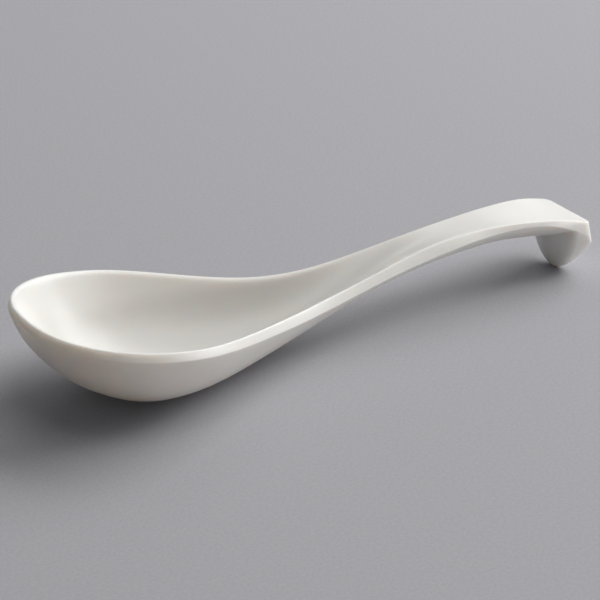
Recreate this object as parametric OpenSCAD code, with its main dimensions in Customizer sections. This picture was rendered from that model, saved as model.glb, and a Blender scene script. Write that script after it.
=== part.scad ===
// Chinese soup spoon with a hooked handle: one moulding in three regions, bowl, handle and hook.
// It stands on a table at z = 0, with the tip of the bowl towards -x and the hook towards +x.
// Every section is a closed ring across the spoon: the hollow on top, a bevelled land round the
// rim, and the rounded underside. x is measured from the tip of the bowl.

/* [Overall] */
// Length from the tip of the bowl to the end of the hook
length = 139.6; // [120:0.2:170]
// Width of the bowl over its rim
bowl_w = 46; // [38:0.5:54]

/* [Bowl] */
// Distance from the tip to the widest section
wide_at = 24.8; // [20:0.2:30]
// Distance from the tip to the throat, where the rim is lowest
throat_at = 64.5; // [56:0.5:74]
// Height of the rim at the tip
tip_h = 23.2; // [19:0.1:27]
// Height of the rim at the throat
throat_h = 12.85; // [11:0.05:15]
// Thickness of the bowl's floor
wall = 2.5; // [1.8:0.1:3.2]
// Depth that the flat foot is cut into the rounded base
foot_cut = 0.25; // [0.1:0.05:0.5]

/* [Rim] */
// Width of the land round the bowl, seen from above
bowl_land_w = 0.6; // [0.3:0.1:1]
// Height of the land at the tip
tip_land_h = 1.9; // [1.3:0.05:2.4]
// Height of the land beside the widest section
side_land_h = 1.85; // [1.2:0.05:2.4]
// Height of the land at the throat
throat_land_h = 1.75; // [1.2:0.05:2.3]
// Width of the land at the waist of the handle, seen from above
waist_land_w = 1.8; // [1.2:0.1:2.4]
// Height of the land at the waist of the handle
waist_land_h = 1.95; // [1.3:0.05:2.5]
// Width of the land at the bend, seen from above
bend_land_w = 0.5; // [0.3:0.1:1]
// Height of the land at the bend
bend_land_h = 1.1; // [0.7:0.05:1.5]

/* [Handle] */
// Width between the rim edges at the waist
waist_w = 8.4; // [7:0.2:11]
// Height of the rim edge at the crest
crest_h = 16.95; // [15:0.05:19]
// Thickness of the handle at the crest
handle_t = 5.5; // [4.5:0.1:6.5]

/* [Hook] */
// Length of the hook along the spoon
hook_len = 14; // [11:0.5:17]
// Width between the rim edges at the end
end_w = 16; // [13:0.5:19]
// Height of the rim edge at the end
end_h = 12.9; // [11.6:0.1:14.4]
// Height of the land across the end
end_land_h = 3.65; // [2.6:0.05:4.6]
// Length of the land across the end, seen from above
end_land_w = 0.75; // [0.4:0.05:1.2]
// Radius of the end's corners
corner_r = 1.8; // [0.8:0.1:2.6]
// Distance from the tooth's tip back to the end
tooth_back = 4.4; // [3.4:0.1:5.2]
// Distance from the tooth's tip forward to its inner face
tooth_front = 3.8; // [3.2:0.1:5]
// Thickness of the handle where the tooth begins
bend_t = 5.6; // [4:0.1:6.5]

/* [Hidden] */
melamine = [0.93, 0.92, 0.89];

// Facets: steps along each region and steps from the middle to one side of a section
front_steps = 18;
bowl_steps = 18;
handle_steps = 22;
bend_steps = 5;
tooth_front_steps = 10;
tooth_back_steps = 14;
side_steps = 15;

// Places along the handle as shares of its length, and the foot's middle as a share of the bowl's
waist_share = 0.47;
crest_share = 0.59;
foot_share = 0.59;
// Powers of curves without a size: the rim's outline round the tip, the tooth from its tip to its
// foot, the tooth seen from above in front and at the end, and its blend into the underside
tip_power = 2.3;
tooth_power = 1.8;
tooth_front_power = 2;
tooth_end_power = 2.8;
blend_power = 2.3;
// Where the hollow begins inside the rim, and how softly its lip turns over, as shares of the way out
lip_share = 0.04;
lip_soft_share = 0.085;
// How far the square end is drawn in at its corners, as a share of their radius
corner_share = 0.9;

// Hand-chosen points between named places: share of the way along, share of the change
plan_shares = [[0.19, 0.19], [0.375, 0.53], [0.56, 0.79], [0.78, 0.935]];
flare_shares = [[0.49, 0.38], [0.77, 0.78]];
fall_shares = [[0.155, 0.16], [0.325, 0.354], [0.525, 0.587], [0.735, 0.836], [0.885, 0.968]];
rise_shares = [[0.27, 0.195], [0.585, 0.67], [0.83, 0.945]];
drop_shares = [[0.23, 0.024], [0.465, 0.153], [0.735, 0.442]];
keel_front_shares = [[0.025, 0.149], [0.066, 0.29], [0.158, 0.5], [0.316, 0.729], [0.526, 0.909],
                     [0.79, 0.987]];
keel_back_shares = [[0.113, 0.027], [0.225, 0.099], [0.366, 0.278], [0.535, 0.575], [0.704, 0.82],
                    [0.873, 0.96]];
keel_bend_shares = [[0.18, -0.03], [0.7, 0.516]];
land_w_shares = [[0.15, 0.12], [0.335, 0.36], [0.47, 0.6], [0.8, 0.76]];
land_w_bend_shares = [[0.27, 0.1], [0.54, 0.62]];
land_h_tip_shares = [[0.5, 0.3]];
land_h_side_shares = [[0.3, 0.45], [0.65, 0.85]];
land_h_handle_shares = [[0.6, 0.33]];
land_h_bend_shares = [[0.27, 0.48], [0.54, 0.7]];
land_h_end_shares = [[0.45, 0.31]];
// Power of the sections' outer and inner curves at shares of the bowl's length
outer_power_shares = [[0, 2.65], [0.19, 2.75], [0.56, 2.65], [0.93, 1.9], [1.55, 2.15], [2.2, 2.15]];
inner_power_shares = [[0, 2.7], [0.19, 2.7], [0.56, 2.6], [0.93, 2.1], [2.2, 2]];

// Named places, from the tip
handle_len = length - throat_at;
waist_at = throat_at + waist_share * handle_len;
crest_at = throat_at + crest_share * handle_len;
bend_at = length - hook_len;
ridge_end = length - end_land_w;
tooth_at = length - tooth_back;
tooth_begin = tooth_at - tooth_front;
foot_at = foot_share * throat_at;
half_w = bowl_w / 2 - bowl_land_w;

// Smooth curve through points: solves for the bend at each point, then reads cubic pieces
function fit_down(p, c, d, i) =
    let (n = len(p) - 1)
    i > n ? [c, d] :
    let (
        h0 = p[i].x - p[i - 1].x,
        h1 = i < n ? p[i + 1].x - p[i].x : 0,
        rise = i < n ? (p[i + 1].y - p[i].y) / h1 - (p[i].y - p[i - 1].y) / h0 : 0,
        pivot = i < n ? 2 * (h0 + h1) - h0 * c[i - 1] : 1,
        c1 = i < n ? h1 / pivot : 0,
        d1 = i < n ? (6 * rise - h0 * d[i - 1]) / pivot : 0
    )
    fit_down(p, concat(c, c1), concat(d, d1), i + 1);
function fit_up(c, d, m, i) = i < 0 ? m : fit_up(c, d, concat([d[i] - c[i] * m[0]], m), i - 1);
function curve(p, level_start = false) =
    let (
        h = p[1].x - p[0].x,
        first = level_start ? [0.5, 3 * (p[1].y - p[0].y) / (h * h)] : [0, 0],
        rows = fit_down(p, [first[0]], [first[1]], 1),
        last = len(p) - 1
    )
    [p, fit_up(rows[0], rows[1], [rows[1][last]], last - 1)];
function piece(p, x, i) = i >= len(p) - 2 || x < p[i + 1].x ? i : piece(p, x, i + 1);
function read(k, x) =
    let (
        p = k[0],
        m = k[1],
        i = piece(p, x, 0),
        h = p[i + 1].x - p[i].x,
        a = (p[i + 1].x - x) / h,
        b = 1 - a
    )
    a * p[i].y + b * p[i + 1].y + ((a ^ 3 - a) * m[i] + (b ^ 3 - b) * m[i + 1]) * h * h / 6;
function between(a, b, shares) =
    [for (s = shares) [a.x + (b.x - a.x) * s[0], a.y + (b.y - a.y) * s[1]]];
function clamp(x) = min(max(x, 0), 1);
function ease(x) = let (u = clamp(x)) u * u * (3 - 2 * u);

// Edge of the rim: half-width behind the widest section, and height
wide = [wide_at, half_w];
waist = [waist_at, waist_w / 2];
end_side = [ridge_end, end_w / 2];
plan = curve(concat([wide], between(wide, waist, plan_shares), [waist],
                    between(waist, end_side, flare_shares), [end_side]), true);
tip = [0, tip_h];
throat = [throat_at, throat_h];
crest = [crest_at, crest_h];
end_top = [ridge_end, end_h];
rim = curve(concat([tip], between(tip, throat, fall_shares), [throat],
                   between(throat, crest, rise_shares), [crest],
                   between(crest, end_top, drop_shares), [end_top]));

// Land: its width and height along the rim
w_wide = [wide_at, bowl_land_w];
w_waist = [waist_at, waist_land_w];
w_bend = [bend_at, bend_land_w];
land_w = curve(concat([[0, bowl_land_w], w_wide], between(w_wide, w_waist, land_w_shares), [w_waist],
                      between(w_waist, w_bend, land_w_bend_shares), [w_bend, [length, bend_land_w]]));
h_tip = [0, tip_land_h];
h_wide = [wide_at, side_land_h];
h_throat = [throat_at, throat_land_h];
h_waist = [waist_at, waist_land_h];
h_bend = [bend_at, bend_land_h];
h_end = [length, end_land_h];
land_h = curve(concat([h_tip], between(h_tip, h_wide, land_h_tip_shares), [h_wide],
                      between(h_wide, h_throat, land_h_side_shares), [h_throat],
                      between(h_throat, h_waist, land_h_handle_shares), [h_waist],
                      between(h_waist, h_bend, land_h_bend_shares), [h_bend],
                      between(h_bend, h_end, land_h_end_shares), [h_end]));
function rim_z(x) = read(rim, min(x, ridge_end));
function edge_z(x) = rim_z(x) - read(land_h, x);

// Keel: the lowest line of the underside, from the tip over the foot to the bend
k_tip = [0, edge_z(0)];
k_foot = [foot_at, -foot_cut];
k_crest = [crest_at, crest_h - handle_t];
k_bend = [tooth_begin, rim_z(tooth_begin) - bend_t];
keel = curve(concat([k_tip], between(k_tip, k_foot, keel_front_shares), [k_foot],
                    between(k_foot, k_crest, keel_back_shares), [k_crest],
                    between(k_crest, k_bend, keel_bend_shares), [k_bend]));
function keel_z(x) = read(keel, min(x, tooth_begin));
function bowl_places(shares) = [for (s = shares) [s[0] * throat_at, s[1]]];
outer_power = curve(bowl_places(outer_power_shares));
inner_power = curve(bowl_places(inner_power_shares));

// Outline of the rim's edge (skirt 0) and of the land's lower edge (skirt 1)
function ahead(x, start) = clamp((wide_at - x) / (wide_at - start));
function drawn_in(x, last) =
    let (u = clamp((x - last + corner_r) / corner_r))
    corner_share * corner_r * (1 - sqrt(1 - u * u));
function edge_w(x, skirt) =
    let (
        start = skirt ? 0 : bowl_land_w,
        last = skirt ? length : ridge_end,
        t = ahead(x, start)
    )
    x < wide_at
        ? (half_w + skirt * bowl_land_w) * (1 - t ^ tip_power) ^ (1 / tip_power)
        : read(plan, min(x, ridge_end)) + skirt * read(land_w, x) - drawn_in(x, last);
// Share of the way from the middle of the bowl to its rim, at share v of a section's half-width
function outward(t, v) = (t ^ tip_power + v ^ tip_power * (1 - t ^ tip_power)) ^ (1 / tip_power);

// Hollow on top: a lip rounded over into the bowl, fading along the handle to a flat end
function floor_t(x) = wall + (handle_t - wall) * ease((x - throat_at) / (crest_at - throat_at));
function hollow(x) =
    let (u = min(max(x, wide_at), bend_at))
    (rim_z(u) - keel_z(u) - floor_t(u)) * (1 - ease((x - bend_at) / (ridge_end - bend_at)));
function soft_step(u) = (u + sqrt(u * u + lip_soft_share ^ 2)) / 2;
function top_z(x, v) =
    let (
        r = outward(ahead(x, bowl_land_w), v) / (1 - lip_share),
        p = read(inner_power, x),
        at_rim = soft_step(1 - (1 - lip_share) ^ -p)
    )
    rim_z(x) - hollow(x) * (soft_step(1 - r ^ p) - at_rim) / (soft_step(1) - at_rim);

// Underside: a rounded keel, and the tooth that grows out of it at the end
function keel_d(x, v) =
    let (
        t = ahead(x, 0),
        p = read(outer_power, x),
        gone = clamp((x - tooth_begin) / (length - tooth_begin))
    )
    (edge_z(x) - keel_z(x)) * (1 - gone * gone) * (1 - outward(t, v) ^ p) / (1 - t ^ p);
// 0 at the tooth's tip to 1 at its foot: round in front, and squarer towards the end
function tooth_reach(x, v) =
    let (
        front = x < tooth_at,
        along = min(front ? (tooth_at - x) / tooth_front : (x - tooth_at) / tooth_back, 1),
        power = front ? tooth_front_power : tooth_end_power,
        square = front ? 0 : (along * v) ^ power
    )
    min(along ^ power + v ^ power - square, 1) ^ (1 / power);
function under_z(x, v) =
    let (
        reach = tooth_reach(x, v),
        keel_part = max(keel_d(x, v), 0) * reach,
        tooth_part = edge_z(x) * (1 - reach ^ tooth_power) ^ (1 / tooth_power),
        depth = (keel_part ^ blend_power + tooth_part ^ blend_power) ^ (1 / blend_power)
    )
    max(edge_z(x) - depth, x > bend_at ? 0 : -foot_cut);

// One section: the hollow from side to side, then the underside back again
spread = [for (j = [-side_steps:side_steps]) sin(90 * j / side_steps)];
back = 2 * side_steps;
function section(x_top, x_under) =
    let (w = edge_w(x_top, 0), s = edge_w(x_under, 1))
    concat(
        [for (v = spread) [x_top - length / 2, v * w, top_z(x_top, abs(v))]],
        [for (j = [back:-1:0]) [x_under - length / 2, spread[j] * s, under_z(x_under, abs(spread[j]))]]
    );
ring = 2 * (back + 1);

// Faces between rings, and flat caps that pair each point on top with the one under it
function quad(a, b, c, d) = [[a, b, c], [a, c, d]];
function walls(first, count) =
    [for (i = [0:count - 2], j = [0:ring - 1])
        let (a = first + i * ring, k = (j + 1) % ring)
        each quad(a + j, a + k, a + ring + k, a + ring + j)];
function cap(first, turned) =
    [for (j = [0:back - 1])
        let (a = first + j, b = first + j + 1, c = first + ring - 2 - j, d = first + ring - 1 - j)
        each turned ? quad(a, d, c, b) : quad(a, b, c, d)];
module loft(rings) {
    last = (len(rings) - 1) * ring;
    polyhedron(points = [for (r = rings) each r],
               faces = concat(cap(0, true), walls(0, len(rings)), cap(last, false)), convexity = 8);
}
// The same loft with its first ring drawn together to one point of the rim and one of the land
module tipped_loft(rings) {
    points = concat([[bowl_land_w - length / 2, 0, rim_z(bowl_land_w)], [-length / 2, 0, edge_z(0)]],
                    [for (r = rings) each r]);
    fan = [for (j = [0:ring - 1])
        let (k = (j + 1) % ring, a = j <= back ? 0 : 1, b = k <= back ? 0 : 1)
        each a == b ? [[a, 2 + k, 2 + j]] : quad(a, b, 2 + k, 2 + j)];
    polyhedron(points = points,
               faces = concat(fan, walls(2, len(rings)), cap(2 + (len(rings) - 1) * ring, false)),
               convexity = 8);
}

// Steps along the spoon, closer together round the tip and on the tooth
function steps(a, b, n, from = 0) = [for (i = [from:n]) a + (b - a) * i / n];
function arc_steps(a, b, n, from = 0) = [for (i = [from:n]) a + (b - a) * (1 - cos(90 * i / n))];
function end_x(x) =
    x + end_land_w * clamp((x - tooth_at) / (ridge_end - tooth_at)) ^ 2;

module bowl() {
    round_top = arc_steps(bowl_land_w, wide_at, front_steps, 1);
    round_under = arc_steps(0, wide_at, front_steps, 1);
    straight = steps(wide_at, throat_at, bowl_steps, 1);
    rings = concat([for (i = [0:front_steps - 1]) section(round_top[i], round_under[i])],
                   [for (x = straight) section(x, x)]);
    color(melamine) difference() {
        tipped_loft(rings);
        // Flat foot
        translate([-length / 2, -bowl_w / 2, -tip_h]) cube([throat_at, bowl_w, tip_h]);
    }
}

module handle() {
    color(melamine) loft([for (x = steps(throat_at, bend_at, handle_steps)) section(x, x)]);
}

module hook() {
    before = steps(bend_at, tooth_begin, bend_steps);
    front = arc_steps(tooth_begin, tooth_at, tooth_front_steps, 1);
    behind = arc_steps(ridge_end, tooth_at, tooth_back_steps);
    after = [for (i = [tooth_back_steps - 1:-1:0]) behind[i]];
    color(melamine) loft([for (x = concat(before, front, after)) section(x, end_x(x))]);
}

bowl();
handle();
hook();
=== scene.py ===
import math

import bmesh
import bpy
import numpy as np
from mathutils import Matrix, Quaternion, Vector


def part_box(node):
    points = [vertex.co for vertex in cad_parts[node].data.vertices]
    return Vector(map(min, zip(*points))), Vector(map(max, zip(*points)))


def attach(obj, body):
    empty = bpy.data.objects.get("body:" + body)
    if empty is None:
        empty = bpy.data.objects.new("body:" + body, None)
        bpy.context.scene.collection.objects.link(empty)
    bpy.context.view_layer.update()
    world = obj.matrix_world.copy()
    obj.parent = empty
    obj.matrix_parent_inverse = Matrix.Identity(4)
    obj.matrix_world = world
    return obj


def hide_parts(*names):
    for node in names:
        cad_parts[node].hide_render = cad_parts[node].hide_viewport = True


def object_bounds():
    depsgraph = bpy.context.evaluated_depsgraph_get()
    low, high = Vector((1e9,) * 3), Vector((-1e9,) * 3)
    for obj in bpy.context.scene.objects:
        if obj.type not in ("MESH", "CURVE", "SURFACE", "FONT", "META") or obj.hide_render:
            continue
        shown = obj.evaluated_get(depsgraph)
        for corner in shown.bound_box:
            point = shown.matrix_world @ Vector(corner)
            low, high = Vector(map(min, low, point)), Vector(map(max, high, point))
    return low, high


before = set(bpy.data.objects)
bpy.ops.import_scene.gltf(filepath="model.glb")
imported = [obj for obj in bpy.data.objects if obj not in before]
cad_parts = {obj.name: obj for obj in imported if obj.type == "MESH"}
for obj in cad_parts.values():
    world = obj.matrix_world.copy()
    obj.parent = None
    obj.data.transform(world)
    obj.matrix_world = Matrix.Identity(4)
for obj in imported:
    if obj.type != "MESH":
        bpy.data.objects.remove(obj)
cad_low, cad_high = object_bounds()

# Sizes in millimetres, with x measured from the tip of the bowl
MM = 0.001
bowl_low, bowl_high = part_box("bowl")
hook_low, hook_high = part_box("hook")
LENGTH = (cad_high.x - cad_low.x) / MM
BOWL_W = (cad_high.y - cad_low.y) / MM
THROAT_AT = (bowl_high.x - bowl_low.x) / MM
HOOK_LEN = (hook_high.x - hook_low.x) / MM
TIP_X = cad_low.x / MM
WIDE_AT = 24.8
TIP_H = 23.2
THROAT_H = 12.85
WALL = 2.5
FOOT_CUT = 0.25
BOWL_LAND_W = 0.6
TIP_LAND_H = 1.9
SIDE_LAND_H = 1.85
THROAT_LAND_H = 1.75
WAIST_LAND_W = 1.8
WAIST_LAND_H = 1.95
BEND_LAND_W = 0.5
BEND_LAND_H = 1.1
WAIST_W = 8.4
CREST_H = 16.95
HANDLE_T = 5.5
END_W = 16.0
END_H = 12.9
END_LAND_H = 3.65
END_LAND_W = 0.75
CORNER_R = 1.8
TOOTH_BACK = 4.4
TOOTH_FRONT = 3.8
BEND_T = 5.6
# Radii that soften the rim's edge and the land's lower edge
RIM_R = 0.3
LAND_R = 0.15
# Lip inside the rim: its width, the depth of hollow from which it has that width, and how softly it turns
LIP_W = 0.95
LIP_FULL_FROM = 8.0
LIP_SOFT = 1.7
LIP_SOFT_FROM = 4.0
# Points closer than this are one point of the mesh
MERGE_GAP = 0.0005

# Places as shares of the sizes that they follow, and powers of curves without a size
WAIST_SHARE = 0.47
CREST_SHARE = 0.59
FOOT_SHARE = 0.59
CORNER_SHARE = 0.9
TIP_POWER = 2.3
TOOTH_POWER = 1.8
TOOTH_FRONT_POWER = 2.0
TOOTH_END_POWER = 2.8
BLEND_POWER = 2.3

# Points between named places: share of the way along, share of the change
PLAN_SHARES = [(0.19, 0.19), (0.375, 0.53), (0.56, 0.79), (0.78, 0.935)]
FLARE_SHARES = [(0.49, 0.38), (0.77, 0.78)]
FALL_SHARES = [(0.155, 0.16), (0.325, 0.354), (0.525, 0.587), (0.735, 0.836), (0.885, 0.968)]
RISE_SHARES = [(0.27, 0.195), (0.585, 0.67), (0.83, 0.945)]
DROP_SHARES = [(0.23, 0.024), (0.465, 0.153), (0.735, 0.442)]
KEEL_FRONT_SHARES = [(0.025, 0.149), (0.066, 0.29), (0.158, 0.5), (0.316, 0.729), (0.526, 0.909),
                     (0.79, 0.987)]
KEEL_BACK_SHARES = [(0.113, 0.027), (0.225, 0.099), (0.366, 0.278), (0.535, 0.575), (0.704, 0.82),
                    (0.873, 0.96)]
KEEL_BEND_SHARES = [(0.18, -0.03), (0.7, 0.516)]
LAND_W_SHARES = [(0.15, 0.12), (0.335, 0.36), (0.47, 0.6), (0.8, 0.76)]
LAND_W_BEND_SHARES = [(0.27, 0.1), (0.54, 0.62)]
LAND_H_TIP_SHARES = [(0.5, 0.3)]
LAND_H_SIDE_SHARES = [(0.3, 0.45), (0.65, 0.85)]
LAND_H_HANDLE_SHARES = [(0.6, 0.33)]
LAND_H_BEND_SHARES = [(0.27, 0.48), (0.54, 0.7)]
LAND_H_END_SHARES = [(0.45, 0.31)]
# Power of the sections' outer and inner curves at shares of the bowl's length
OUTER_POWER_SHARES = [(0, 2.65), (0.19, 2.75), (0.56, 2.65), (0.93, 1.9), (1.55, 2.15), (2.2, 2.15)]
INNER_POWER_SHARES = [(0, 2.7), (0.19, 2.7), (0.56, 2.6), (0.93, 2.1), (2.2, 2)]

WAIST_AT = THROAT_AT + WAIST_SHARE * (LENGTH - THROAT_AT)
CREST_AT = THROAT_AT + CREST_SHARE * (LENGTH - THROAT_AT)
BEND_AT = LENGTH - HOOK_LEN
RIDGE_END = LENGTH - END_LAND_W
TOOTH_AT = LENGTH - TOOTH_BACK
TOOTH_BEGIN = TOOTH_AT - TOOTH_FRONT
FOOT_AT = FOOT_SHARE * THROAT_AT
HALF_W = BOWL_W / 2 - BOWL_LAND_W

# Points along each stretch of the outline, and across each band of a section
TIP_STEPS = 44
BOWL_STEPS = 56
HANDLE_STEPS = 56
BEND_STEPS = 14
TOOTH_STEPS = 26
CORNER_STEPS = 10
END_STEPS = 16
SPREAD_STEPS = 44
ROUND_STEPS = 5
# How much closer the columns stand where the tooth begins
TOOTH_CROWD = 1.5
# Shares of the way out that are tried to find where an edge's rounding begins
SOFT_FROM = 0.5
SOFT_SAMPLES = 600
TINY = 1e-9

# Camera: angles in degrees, and its aim and distance in millimetres
CAMERA_TURN = 32.81
CAMERA_DROP = 26.16
CAMERA_LEAN = 0.27
CAMERA_ANGLE = 14
CAMERA_AIM = (-4.11, 0.2, 9.86)
CAMERA_AWAY = 523.5

# Lamps: name, turn and rise in degrees, width and height in metres, watts
LAMP_AWAY = 1.5
LAMPS = [
    ("key", 4, 40, 1.4, 1.1, 21.9),
    ("low_card", 317, 3.0, 1.1, 0.14, 7.1),
    ("top_fill", 290, 74, 0.9, 0.9, 4.2),
    ("back_fill", 62, 40, 0.5, 0.6, 1.6),
    ("crest_light", 45, 14, 0.5, 0.36, 1.0),
]
ROOM_LIGHT = 0.115

# Noises: waves per metre, detail, roughness
CLOUD_NOISE = (55, 4, 0.55)
SPECK_NOISE = (1900, 2, 0.5)
GLOSS_NOISE = (110, 2, 0.45)
SKIN_NOISE = (420, 3, 0.5)
GRAIN_NOISE = (1500, 2, 0.6)
# The middle part of a noise, over which colours and values are spread, and the rare low part of the specks
NOISE_LOW = 0.3
NOISE_HIGH = 0.7
SPECK_LOW = 0.24
SPECK_HIGH = 0.3

# Melamine: colours, how far each colour's light travels inside, gloss, and fine skin in metres
CLOUD_DARK = (0.775, 0.76, 0.725)
CLOUD_PALE = (0.795, 0.782, 0.752)
SPECK_DARK = (0.94, 0.93, 0.91)
WHITE = (1, 1, 1)
GLOW_SHARES = (1, 0.85, 0.72)
GLOW_REACH = 0.0023
REFRACTION = 1.5
GLOSS_LOW = 0.285
GLOSS_HIGH = 0.32
SKIN_STRENGTH = 0.12
SKIN_DEPTH = 0.00004

# Floor: side in metres, colours, and a dull finish
FLOOR_SIDE = 6
GRAIN_DARK = (0.395, 0.391, 0.414)
GRAIN_PALE = (0.445, 0.441, 0.466)
FLOOR_DULL = 0.9


class Curve:
    """A smooth curve through points: a cubic spline, straight or level at its start."""

    def __init__(self, points, level_start=False):
        self.x, self.y = np.array(points, float).T
        self.h = np.diff(self.x)
        slope = np.diff(self.y) / self.h
        last = len(self.x) - 1
        rows = np.eye(last + 1)
        turn = np.zeros(last + 1)
        if level_start:
            rows[0, :2] = 2 * self.h[0], self.h[0]
            turn[0] = 6 * slope[0]
        for i in range(1, last):
            rows[i, i - 1:i + 2] = self.h[i - 1], 2 * (self.h[i - 1] + self.h[i]), self.h[i]
            turn[i] = 6 * (slope[i] - slope[i - 1])
        self.bend = np.linalg.solve(rows, turn)

    def __call__(self, x):
        i = np.clip(np.searchsorted(self.x, x, side="right") - 1, 0, len(self.h) - 1)
        h = self.h[i]
        a = (self.x[i + 1] - x) / h
        b = 1 - a
        bent = (a**3 - a) * self.bend[i] + (b**3 - b) * self.bend[i + 1]
        return a * self.y[i] + b * self.y[i + 1] + bent * h * h / 6


def between(a, b, shares):
    """Points on the way from a to b, at given shares of the way and of the change."""
    return [(a[0] + (b[0] - a[0]) * s, a[1] + (b[1] - a[1]) * t) for s, t in shares]


def ease(x):
    """0 to 1 with a soft start and end."""
    u = np.clip(x, 0, 1)
    return u * u * (3 - 2 * u)


# Edge of the rim: half-width behind the widest section, and height
wide = (WIDE_AT, HALF_W)
waist = (WAIST_AT, WAIST_W / 2)
end_side = (RIDGE_END, END_W / 2)
plan = Curve([wide, *between(wide, waist, PLAN_SHARES), waist,
              *between(waist, end_side, FLARE_SHARES), end_side], level_start=True)
tip = (0, TIP_H)
throat = (THROAT_AT, THROAT_H)
crest = (CREST_AT, CREST_H)
end_top = (RIDGE_END, END_H)
rim = Curve([tip, *between(tip, throat, FALL_SHARES), throat, *between(throat, crest, RISE_SHARES),
             crest, *between(crest, end_top, DROP_SHARES), end_top])

# Land: its width and height along the rim
w_wide = (WIDE_AT, BOWL_LAND_W)
w_waist = (WAIST_AT, WAIST_LAND_W)
w_bend = (BEND_AT, BEND_LAND_W)
land_w = Curve([(0, BOWL_LAND_W), w_wide, *between(w_wide, w_waist, LAND_W_SHARES), w_waist,
                *between(w_waist, w_bend, LAND_W_BEND_SHARES), w_bend, (LENGTH, BEND_LAND_W)])
h_tip = (0, TIP_LAND_H)
h_wide = (WIDE_AT, SIDE_LAND_H)
h_throat = (THROAT_AT, THROAT_LAND_H)
h_waist = (WAIST_AT, WAIST_LAND_H)
h_bend = (BEND_AT, BEND_LAND_H)
h_end = (LENGTH, END_LAND_H)
land_h = Curve([h_tip, *between(h_tip, h_wide, LAND_H_TIP_SHARES),
                h_wide, *between(h_wide, h_throat, LAND_H_SIDE_SHARES),
                h_throat, *between(h_throat, h_waist, LAND_H_HANDLE_SHARES),
                h_waist, *between(h_waist, h_bend, LAND_H_BEND_SHARES),
                h_bend, *between(h_bend, h_end, LAND_H_END_SHARES), h_end])


def rim_z(x):
    """Height of the rim's edge."""
    return rim(np.minimum(x, RIDGE_END))


def edge_z(x):
    """Height of the land's lower edge."""
    return rim_z(x) - land_h(x)


# Keel: the lowest line of the underside, from the tip over the foot to the bend
k_tip = (0, float(edge_z(0)))
k_foot = (FOOT_AT, -FOOT_CUT)
k_crest = (CREST_AT, CREST_H - HANDLE_T)
k_bend = (TOOTH_BEGIN, float(rim_z(TOOTH_BEGIN)) - BEND_T)
keel = Curve([k_tip, *between(k_tip, k_foot, KEEL_FRONT_SHARES),
              k_foot, *between(k_foot, k_crest, KEEL_BACK_SHARES),
              k_crest, *between(k_crest, k_bend, KEEL_BEND_SHARES), k_bend])
outer_power = Curve([(s * THROAT_AT, p) for s, p in OUTER_POWER_SHARES])
inner_power = Curve([(s * THROAT_AT, p) for s, p in INNER_POWER_SHARES])


def keel_z(x):
    """Height of the keel, held level under the tooth."""
    return keel(np.minimum(x, TOOTH_BEGIN))


def ridge_w(x):
    """Half-width of the rim's edge behind the widest section, without the end's corners."""
    return plan(np.clip(x, WIDE_AT, RIDGE_END))


def skirt_w(x):
    """Half-width of the land's lower edge behind the widest section, without the end's corners."""
    return ridge_w(x) + land_w(x)


def hollow(x):
    """Depth of the hollow under the rim, which fades along the handle to a flat end."""
    u = np.clip(x, WIDE_AT, BEND_AT)
    thick = WALL + (HANDLE_T - WALL) * ease((u - THROAT_AT) / (CREST_AT - THROAT_AT))
    return (rim_z(u) - keel_z(u) - thick) * (1 - ease((x - BEND_AT) / (RIDGE_END - BEND_AT)))


def soft_step(u, soft):
    """0 below and u above, with a soft turn between them."""
    return (u + np.sqrt(u * u + soft * soft)) / 2


def top_z(x, outward):
    """Height of the hollow, at a share of the way out from the middle to the rim, with a rounded lip."""
    p = inner_power(x)
    depth = hollow(x)
    lip = 1 - LIP_W * ease(depth / LIP_FULL_FROM) / ridge_w(x)
    soft = LIP_SOFT / (LIP_SOFT_FROM + depth)
    at_rim = soft_step(1 - lip**-p, soft)
    deep = (soft_step(1 - (outward / lip)**p, soft) - at_rim) / (soft_step(1, soft) - at_rim)
    return rim_z(x) - depth * deep


def keel_depth(x, outward, ahead):
    """Depth of the rounded underside below the land's lower edge."""
    p = outer_power(x)
    gone = np.clip((x - TOOTH_BEGIN) / (LENGTH - TOOTH_BEGIN), 0, 1)
    across = (1 - outward**p) / np.maximum(1 - ahead**p, TINY)
    return (edge_z(x) - keel_z(x)) * (1 - gone * gone) * across


def tooth_reach(x, outward):
    """0 at the tooth's tip to 1 at its root: round in front, and squarer towards the end."""
    front = x < TOOTH_AT
    along = np.minimum(np.where(front, (TOOTH_AT - x) / TOOTH_FRONT, (x - TOOTH_AT) / TOOTH_BACK), 1)
    power = np.where(front, TOOTH_FRONT_POWER, TOOTH_END_POWER)
    square = np.where(front, 0, (along * outward)**power)
    return np.clip(along**power + outward**power - square, 0, 1)**(1 / power)


def under_z(x, outward, ahead):
    """Height of the underside: a rounded keel, and the tooth that grows out of it at the end."""
    a = keel_depth(x, outward, ahead)
    reach = tooth_reach(x, outward)
    b = edge_z(x) * (1 - reach**TOOTH_POWER)**(1 / TOOTH_POWER)
    depth = ((np.maximum(a, 0) * reach)**BLEND_POWER + b**BLEND_POWER)**(1 / BLEND_POWER)
    return np.maximum(edge_z(x) - depth, 0)


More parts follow.
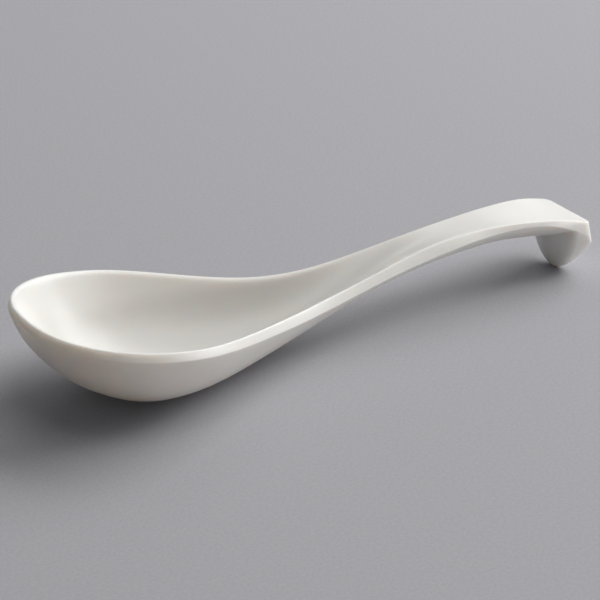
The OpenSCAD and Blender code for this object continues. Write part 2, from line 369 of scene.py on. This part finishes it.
def outline():
    """Half of the outline, from the tip along one side to the middle of the end.

    Returns the rim's edge and the land's lower edge (x, y), and 1 to 0 round the tip for the share of
    the way ahead of the widest section.
    """
    a = np.linspace(0, math.pi / 2, TIP_STEPS, endpoint=False)
    c = np.cos(a)**(2 / TIP_POWER)
    s = np.sin(a)**(2 / TIP_POWER)
    tip_rim = np.stack([WIDE_AT - (WIDE_AT - BOWL_LAND_W) * c, HALF_W * s], 1)
    tip_land = np.stack([WIDE_AT - WIDE_AT * c, (HALF_W + BOWL_LAND_W) * s], 1)

    corner_at = RIDGE_END - CORNER_R
    x = np.concatenate([
        np.linspace(WIDE_AT, THROAT_AT, BOWL_STEPS, endpoint=False),
        np.linspace(THROAT_AT, BEND_AT, HANDLE_STEPS, endpoint=False),
        np.linspace(BEND_AT, TOOTH_BEGIN, BEND_STEPS, endpoint=False),
        TOOTH_BEGIN + (corner_at - TOOTH_BEGIN) * np.linspace(0, 1, TOOTH_STEPS)**TOOTH_CROWD])
    lead = END_LAND_W * ease((x - BEND_AT) / (corner_at - BEND_AT))
    side_rim = np.stack([x, ridge_w(x)], 1)
    side_land = np.stack([x + lead, skirt_w(x + lead)], 1)

    turn = np.linspace(0, math.pi / 2, CORNER_STEPS + 1)[1:]
    along = CORNER_R * np.sin(turn)
    inward = CORNER_SHARE * CORNER_R * (1 - np.cos(turn))
    x = corner_at + along
    corner_rim = np.stack([x, ridge_w(x) - inward], 1)
    corner_land = np.stack([x + END_LAND_W, skirt_w(x + END_LAND_W) - inward], 1)

    k = np.linspace(1, 0, END_STEPS + 1)[1:, None]
    end_rim = corner_rim[-1] * [1, 0] + k * corner_rim[-1] * [0, 1]
    end_land = corner_land[-1] * [1, 0] + k * corner_land[-1] * [0, 1]

    edge = np.concatenate([tip_rim, side_rim, corner_rim, end_rim])
    skirt = np.concatenate([tip_land, side_land, corner_land, end_land])
    ahead = np.zeros(len(edge))
    ahead[:TIP_STEPS] = c
    return edge, skirt, ahead


def line_to(edge_points, ahead, shares, under):
    """Points from the middle of the spoon out to an edge, at shares of the way, for every column."""
    x1 = edge_points[:, :1]
    y1 = edge_points[:, 1:]
    front = ahead[:, None] > 0
    middle = np.where(front, WIDE_AT, np.minimum(x1, TOOTH_AT))
    x = middle + shares * (x1 - middle)
    y = shares * y1
    width = skirt_w(x) if under else ridge_w(x)
    outward = np.where(front, shares, np.minimum(y / width, 1))
    if under:
        z = under_z(x, outward, shares * ahead[:, None])
    else:
        z = top_z(x, outward)
    return np.stack([x, y, z], 2)


def share_before_edge(edge_points, ahead, radius, under):
    """The share of the way out at which a line comes within a radius of its edge, for every column."""
    shares = np.linspace(SOFT_FROM, 1, SOFT_SAMPLES)
    points = line_to(edge_points, ahead, shares[None, :], under)
    away = np.linalg.norm(points - points[:, -1:], axis=2)
    return np.array([np.interp(-radius, -row, shares) for row in away])


def round_corner(a, corner, b):
    """A rounded corner, as points between a and b that bend towards the corner."""
    t = np.linspace(0, 1, ROUND_STEPS + 2)[1:-1][None, :, None]
    return (1 - t)**2 * a[:, None] + 2 * t * (1 - t) * corner[:, None] + t**2 * b[:, None]


def half_skin():
    """Points of half the spoon: a column for each point of the outline, from hollow to underside."""
    edge, skirt, ahead = outline()
    spread = np.sin(np.linspace(0, math.pi / 2, SPREAD_STEPS))[None, :]
    reach = share_before_edge(edge, ahead, RIM_R, under=False)[:, None]
    top = line_to(edge, ahead, spread * reach, under=False)
    rim_edge = line_to(edge, ahead, np.ones((1, 1)), under=False)[:, 0]
    reach = share_before_edge(skirt, ahead, LAND_R, under=True)[:, None]
    below = line_to(skirt, ahead, spread * reach, under=True)
    land_edge = line_to(skirt, ahead, np.ones((1, 1)), under=True)[:, 0]
    down = land_edge - rim_edge
    down = down / np.linalg.norm(down, axis=1)[:, None]
    land_top = rim_edge + RIM_R * down
    land_foot = land_edge - LAND_R * down
    land_middle = (land_top + land_foot) / 2
    return np.concatenate([
        top, round_corner(top[:, -1], rim_edge, land_top),
        land_top[:, None], land_middle[:, None], land_foot[:, None],
        round_corner(land_foot, land_edge, below[:, -1]), below[:, ::-1]], 1)


def make_skin():
    """The whole spoon as one closed mesh: half of it and its mirror image, joined along the middle."""
    half = half_skin()
    columns, rows = half.shape[:2]
    points = half.reshape(-1, 3)
    both = np.concatenate([points, points * [1, -1, 1]]) + [TIP_X, 0, 0]
    i = np.arange(columns - 1)[:, None] * rows + np.arange(rows - 1)[None, :]
    quads = np.stack([i, i + 1, i + rows + 1, i + rows], 2).reshape(-1, 4)
    quads = np.concatenate([quads, quads[:, ::-1] + columns * rows])
    mesh = bpy.data.meshes.new("spoon")
    mesh.from_pydata((both * MM).tolist(), [], quads.tolist())
    work = bmesh.new()
    work.from_mesh(mesh)
    bmesh.ops.remove_doubles(work, verts=work.verts, dist=MERGE_GAP * MM)
    bmesh.ops.dissolve_degenerate(work, edges=work.edges, dist=MERGE_GAP * MM)
    bmesh.ops.recalc_face_normals(work, faces=work.faces)
    for face in work.faces:
        face.smooth = True
    work.to_mesh(mesh)
    work.free()
    skin = bpy.data.objects.new("spoon", mesh)
    bpy.context.scene.collection.objects.link(skin)
    return skin


def noise(tree, place, kind):
    """A fractal noise over the spoon or the floor, from its waves per metre, detail and roughness."""
    node = tree.nodes.new("ShaderNodeTexNoise")
    for name, value in zip(("Scale", "Detail", "Roughness"), kind):
        node.inputs[name].default_value = value
    tree.links.new(place.outputs["Object"], node.inputs["Vector"])
    return node


def ramp(tree, source, stops):
    """Colours along a noise, as (place, colour) stops."""
    node = tree.nodes.new("ShaderNodeValToRGB")
    for element, (place, colour) in zip(node.color_ramp.elements, stops):
        element.position = place
        element.color = (*colour, 1)
    tree.links.new(source.outputs["Fac"], node.inputs["Fac"])
    return node


def spread_over(tree, source, low, high):
    """A noise's middle part spread over a range of values."""
    node = tree.nodes.new("ShaderNodeMapRange")
    node.inputs["From Min"].default_value = NOISE_LOW
    node.inputs["From Max"].default_value = NOISE_HIGH
    node.inputs["To Min"].default_value = low
    node.inputs["To Max"].default_value = high
    tree.links.new(source.outputs["Fac"], node.inputs["Value"])
    return node


def melamine():
    """Warm white moulded melamine: faint clouding, tiny specks, and a soft gloss with a fine skin."""
    material = bpy.data.materials.new("melamine")
    material.use_nodes = True
    tree = material.node_tree
    shader = tree.nodes["Principled BSDF"]
    shader.inputs["IOR"].default_value = REFRACTION
    shader.inputs["Subsurface Weight"].default_value = 1
    shader.inputs["Subsurface Radius"].default_value = GLOW_SHARES
    shader.inputs["Subsurface Scale"].default_value = GLOW_REACH
    place = tree.nodes.new("ShaderNodeTexCoord")
    clouds = ramp(tree, noise(tree, place, CLOUD_NOISE), [(NOISE_LOW, CLOUD_DARK), (NOISE_HIGH, CLOUD_PALE)])
    specks = ramp(tree, noise(tree, place, SPECK_NOISE), [(SPECK_LOW, SPECK_DARK), (SPECK_HIGH, WHITE)])
    tint = tree.nodes.new("ShaderNodeMix")
    tint.data_type = "RGBA"
    tint.blend_type = "MULTIPLY"
    tint.inputs["Factor"].default_value = 1
    tree.links.new(clouds.outputs["Color"], tint.inputs["A"])
    tree.links.new(specks.outputs["Color"], tint.inputs["B"])
    tree.links.new(tint.outputs["Result"], shader.inputs["Base Color"])
    gloss = spread_over(tree, noise(tree, place, GLOSS_NOISE), GLOSS_LOW, GLOSS_HIGH)
    tree.links.new(gloss.outputs["Result"], shader.inputs["Roughness"])
    fine_skin = tree.nodes.new("ShaderNodeBump")
    fine_skin.inputs["Strength"].default_value = SKIN_STRENGTH
    fine_skin.inputs["Distance"].default_value = SKIN_DEPTH
    tree.links.new(noise(tree, place, SKIN_NOISE).outputs["Fac"], fine_skin.inputs["Height"])
    tree.links.new(fine_skin.outputs["Normal"], shader.inputs["Normal"])
    return material


def make_stage():
    """A plain pale floor with a faint grain."""
    bpy.ops.mesh.primitive_plane_add(size=FLOOR_SIDE, location=(0, 0, 0))
    floor = bpy.context.object
    floor.name = "floor"
    material = bpy.data.materials.new("floor")
    material.use_nodes = True
    tree = material.node_tree
    shader = tree.nodes["Principled BSDF"]
    shader.inputs["Roughness"].default_value = FLOOR_DULL
    place = tree.nodes.new("ShaderNodeTexCoord")
    grain = ramp(tree, noise(tree, place, GRAIN_NOISE), [(NOISE_LOW, GRAIN_DARK), (NOISE_HIGH, GRAIN_PALE)])
    tree.links.new(grain.outputs["Color"], shader.inputs["Base Color"])
    floor.data.materials.append(material)


def make_camera():
    """The photograph's view: from the bowl's side, above the table, through a long lens."""
    turn = math.radians(CAMERA_TURN)
    drop = math.radians(CAMERA_DROP)
    lean = math.radians(CAMERA_LEAN)
    forward = Vector((math.sin(turn) * math.cos(drop), math.cos(turn) * math.cos(drop), -math.sin(drop)))
    data = bpy.data.cameras.new("camera")
    data.angle = math.radians(CAMERA_ANGLE)
    camera = bpy.data.objects.new("camera", data)
    camera.location = Vector(CAMERA_AIM) * MM - forward * (CAMERA_AWAY * MM)
    facing = forward.to_track_quat("-Z", "Y") @ Quaternion((0, 0, 1), -lean)
    camera.rotation_euler = facing.to_euler()
    bpy.context.scene.collection.objects.link(camera)
    bpy.context.scene.camera = camera


def add_lamp(name, turn, rise, width, height, watts):
    """A soft box that faces the spoon, turned from +X round the table and raised above it, in degrees."""
    data = bpy.data.lights.new(name, "AREA")
    data.shape = "RECTANGLE"
    data.size = width
    data.size_y = height
    data.energy = watts
    a = math.radians(turn)
    e = math.radians(rise)
    away = Vector((math.cos(a) * math.cos(e), math.sin(a) * math.cos(e), math.sin(e))) * LAMP_AWAY
    lamp = bpy.data.objects.new(name, data)
    lamp.location = away
    lamp.rotation_euler = (-away).to_track_quat("-Z", "Y").to_euler()
    bpy.context.scene.collection.objects.link(lamp)


def make_lights():
    """A window-like soft box at the hook's end, a low card on the near side, weak fills, and a dim room."""
    world = bpy.data.worlds.new("room")
    bpy.context.scene.world = world
    world.use_nodes = True
    room = world.node_tree.nodes["Background"]
    room.inputs["Color"].default_value = (*WHITE, 1)
    room.inputs["Strength"].default_value = ROOM_LIGHT
    for lamp in LAMPS:
        add_lamp(*lamp)


make_camera()
make_stage()
make_lights()
skin = make_skin()
skin.data.materials.append(melamine())
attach(skin, "root")
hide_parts("bowl", "handle", "hook")

bpy.context.scene.view_settings.view_transform = "Standard"
